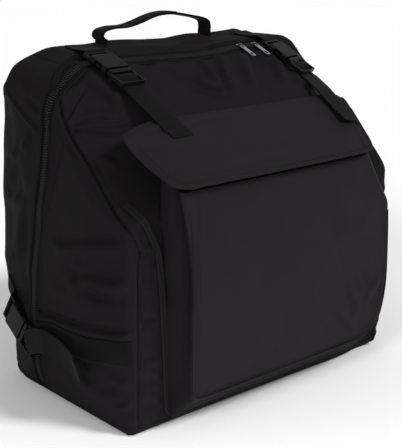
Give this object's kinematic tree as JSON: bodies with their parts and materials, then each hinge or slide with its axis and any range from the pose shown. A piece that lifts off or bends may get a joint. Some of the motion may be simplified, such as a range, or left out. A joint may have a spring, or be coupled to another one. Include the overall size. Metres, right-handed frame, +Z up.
{
  "type": "accordion case",
  "caption": "Soft padded backpack case for a piano accordion, with a zipped back lid, a large flap pocket, four buckled compression straps, a carry handle and shoulder straps.",
  "frame": {"origin": "on the floor under the middle of the base, half way between the two side seams", "axes": "+Z up, +Y towards the back panel and the shoulder straps, -Y towards the pocket, +X to the right seen from the pocket side"},
  "size_m": [0.5876, 0.3993, 0.5478],
  "materials": {
    "shell_fabric": "matte",
    "back_fabric": "matte",
    "pocket_fabric": "satin",
    "foam_padding": "matte",
    "stiffener_board": "matte",
    "lining_fabric": "satin",
    "zipper_tape": "matte",
    "zipper_coil": "satin",
    "binding_tape": "matte",
    "hook_and_loop": "matte",
    "buckle_plastic": "satin",
    "webbing": "matte",
    "slider_metal": "polished",
    "pull_metal": "polished",
    "pad_fabric": "matte"
  },
  "bodies": {
    "front_shell": {"base_panel": "shell_fabric", "lower_front_panel": "shell_fabric", "left_side_panel": "shell_fabric", "right_side_panel": "shell_fabric", "upper_front_panel": "shell_fabric", "base_board": "stiffener_board", "lower_front_foam": "foam_padding", "side_foams": "foam_padding", "upper_front_foam": "foam_padding", "front_lining": "lining_fabric", "zipper_tape_front": "zipper_tape", "zipper_coil_front": "zipper_coil", "lid_hinge_strip": "binding_tape", "pocket_gusset": "shell_fabric", "pocket_front": "pocket_fabric", "pocket_front_binding": "binding_tape", "pocket_seam_binding": "binding_tape", "pocket_loop_strip": "hook_and_loop", "top_strap_anchors": "webbing", "side_strap_anchors": "webbing"},
    "back_lid": {"back_panel": "back_fabric", "rim_panel": "shell_fabric", "back_foam": "foam_padding", "rim_foams": "foam_padding", "back_lining": "lining_fabric", "zipper_tape_back": "zipper_tape", "zipper_coil_back": "zipper_coil", "buckle_sockets": "buckle_plastic", "top_strap_webbing": "webbing", "side_strap_webbing": "webbing", "handle_tabs": "webbing", "hanging_loop_tab": "webbing", "shoulder_pads": "pad_fabric", "shoulder_strap_webbing": "webbing", "shoulder_strap_adjusters": "buckle_plastic", "shoulder_yoke": "pad_fabric"},
    "flap": {"pocket_flap": "pocket_fabric", "flap_binding": "binding_tape", "flap_hook_strip": "hook_and_loop"},
    "handle": {"carry_handle": "webbing", "handle_feet": "webbing"},
    "left_top_buckle_plug_body": {"left_top_buckle_plug": "buckle_plastic", "left_top_buckle_prongs": "buckle_plastic"},
    "left_top_tail": {"left_top_strap_tail": "webbing"},
    "right_top_buckle_plug_body": {"right_top_buckle_plug": "buckle_plastic", "right_top_buckle_prongs": "buckle_plastic"},
    "right_top_tail": {"right_top_strap_tail": "webbing"},
    "left_side_buckle_plug_body": {"left_side_buckle_plug": "buckle_plastic", "left_side_buckle_prongs": "buckle_plastic"},
    "left_side_tail": {"left_side_strap_tail": "webbing"},
    "right_side_buckle_plug_body": {"right_side_buckle_plug": "buckle_plastic", "right_side_buckle_prongs": "buckle_plastic"},
    "right_side_tail": {"right_side_strap_tail": "webbing"},
    "left_slider": {"left_zipper_slider": "slider_metal"},
    "left_pull": {"left_zipper_pull": "pull_metal"},
    "right_slider": {"right_zipper_slider": "slider_metal"},
    "right_pull": {"right_zipper_pull": "pull_metal"}
  },
  "joints": [
    {"name": "lid_hinge", "type": "hinge", "parent": "front_shell", "child": "back_lid", "pos_m": [0, 0.1576, 0.0085], "axis": [-1, 0, 0], "range_deg": [0, 75]},
    {"name": "flap_hinge", "type": "hinge", "parent": "front_shell", "child": "flap", "pos_m": [0, -0.088, 0.4195], "axis": [-1, 0, 0], "range_deg": [0, 130]},
    {"name": "handle_hinge", "type": "hinge", "parent": "back_lid", "child": "handle", "pos_m": [0.001, 0.112, 0.503], "axis": [1, 0, 0], "range_deg": [-30, 30], "stiffness_Nm_per_rad": 0.05, "deforming": ["handle_feet"]},
    {"name": "left_top_buckle_release", "type": "slide", "parent": "front_shell", "child": "left_top_buckle_plug_body", "axis": [0.1256, -0.8938, -0.4305], "range_m": [0, 0.026], "deforming": ["left_top_buckle_prongs", "top_strap_anchors"]},
    {"name": "left_top_tail_lift", "type": "hinge", "parent": "left_top_buckle_plug_body", "child": "left_top_tail", "pos_m": [-0.15327, -0.017, 0.47444], "axis": [-1, 0, 0], "range_deg": [0, 130]},
    {"name": "right_top_buckle_release", "type": "slide", "parent": "front_shell", "child": "right_top_buckle_plug_body", "axis": [0.2621, -0.8065, -0.5299], "range_m": [0, 0.026], "deforming": ["right_top_buckle_prongs", "top_strap_anchors"]},
    {"name": "right_top_tail_lift", "type": "hinge", "parent": "right_top_buckle_plug_body", "child": "right_top_tail", "pos_m": [0.20713, -0.01673, 0.46476], "axis": [-1, 0, 0], "range_deg": [0, 130]},
    {"name": "left_side_buckle_release", "type": "slide", "parent": "front_shell", "child": "left_side_buckle_plug_body", "axis": [0, -0.8141, -0.5807], "range_m": [0, 0.026], "deforming": ["left_side_buckle_prongs"]},
    {"name": "left_side_tail_lift", "type": "hinge", "parent": "left_side_buckle_plug_body", "child": "left_side_tail", "pos_m": [-0.2828, 0.06897, 0.08174], "axis": [0, -0.0523, -0.9986], "range_deg": [0, 60], "stiffness_Nm_per_rad": 0.02},
    {"name": "right_side_buckle_release", "type": "slide", "parent": "front_shell", "child": "right_side_buckle_plug_body", "axis": [0, -0.8141, -0.5807], "range_m": [0, 0.026], "deforming": ["right_side_buckle_prongs"]},
    {"name": "right_side_tail_lift", "type": "hinge", "parent": "right_side_buckle_plug_body", "child": "right_side_tail", "pos_m": [0.2828, 0.06897, 0.08174], "axis": [0, 0.0523, 0.9986], "range_deg": [0, 60], "stiffness_Nm_per_rad": 0.02},
    {"name": "left_slider_travel", "type": "slide", "parent": "front_shell", "child": "left_slider", "axis": [1, 0, 0], "range_m": [-0.222, 0.008]},
    {"name": "left_pull_swing", "type": "hinge", "parent": "left_slider", "child": "left_pull", "pos_m": [0.118, 0.0375, 0.4935], "axis": [-1, 0, 0], "range_deg": [0, 150]},
    {"name": "right_slider_travel", "type": "slide", "parent": "front_shell", "child": "right_slider", "axis": [1, 0, 0], "range_m": [-0.008, 0.01]},
    {"name": "right_pull_swing", "type": "hinge", "parent": "right_slider", "child": "right_pull", "pos_m": [0.15, 0.0375, 0.4935], "axis": [-1, 0, 0], "range_deg": [0, 150]}
  ],
  "couplings": [
    {"joint": "left_top_tail_lift", "follows": "flap_hinge", "ratio": 1},
    {"joint": "right_top_tail_lift", "follows": "flap_hinge", "ratio": 1}
  ]
}
